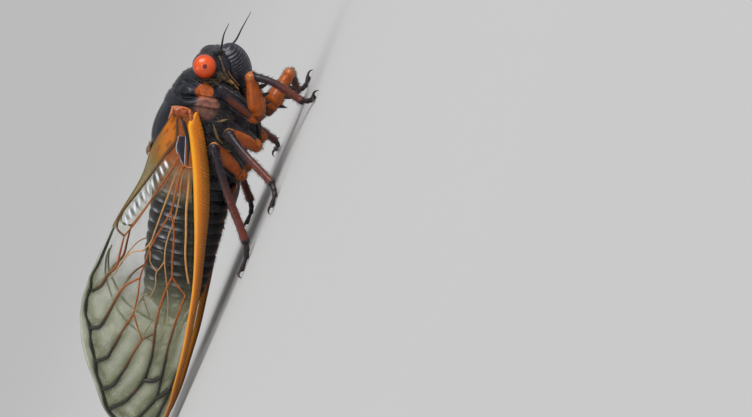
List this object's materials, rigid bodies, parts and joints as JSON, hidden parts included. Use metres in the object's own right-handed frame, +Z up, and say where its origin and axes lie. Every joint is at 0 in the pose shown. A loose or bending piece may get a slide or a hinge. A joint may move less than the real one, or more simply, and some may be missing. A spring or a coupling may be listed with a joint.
{
  "type": "periodical cicada model",
  "caption": "Still, life-size model of a periodical cicada that stands on its feet with tent-folded clear wings, orange veins and red eyes.",
  "frame": {"origin": "middle of the outline seen from above, at the level of the soles", "axes": "+Z up, +Y from head to tail, +X to the animal's left"},
  "size_m": [0.0272, 0.0476, 0.0145],
  "materials": {
    "shell": "glossy blue-black shell with fine hairs and pits",
    "face": "glossy blue-black, crossed by fine ridges",
    "eye": "glossy orange-red facets",
    "belly": "satin black-brown with pale segment edges",
    "beak": "dark red-brown",
    "coxa": "black rims round a red-brown middle",
    "femur": "orange-brown with dark streaks",
    "tibia": "purple-brown turning red-brown",
    "foot": "black-brown",
    "feeler": "black",
    "forewing": "clear smoky membrane with orange and black veins",
    "hindwing": "clear membrane with pale orange veins"
  },
  "bodies": {
    "root": {"postclypeus": "face", "head": "shell", "eye_right": "eye", "eye_left": "eye", "antenna_right": "feeler", "antenna_left": "feeler", "pronotum": "shell", "thorax": "shell", "abdomen": "belly", "abdomen_tip": "belly", "rostrum": "beak", "fore_right_coxa": "coxa", "fore_right_femur": "femur", "fore_right_tibia": "tibia", "fore_right_tarsus": "foot", "fore_left_coxa": "coxa", "fore_left_femur": "femur", "fore_left_tibia": "tibia", "fore_left_tarsus": "foot", "middle_right_coxa": "coxa", "middle_right_femur": "femur", "middle_right_tibia": "tibia", "middle_right_tarsus": "foot", "middle_left_coxa": "coxa", "middle_left_femur": "femur", "middle_left_tibia": "tibia", "middle_left_tarsus": "foot", "hind_right_coxa": "coxa", "hind_right_femur": "femur", "hind_right_tibia": "tibia", "hind_right_tarsus": "foot", "hind_left_coxa": "coxa", "hind_left_femur": "femur", "hind_left_tibia": "tibia", "hind_left_tarsus": "foot", "operculum_right": "belly", "forewing_right": "forewing", "hindwing_right": "hindwing", "operculum_left": "belly", "forewing_left": "forewing", "hindwing_left": "hindwing"}
  },
  "joints": []
}
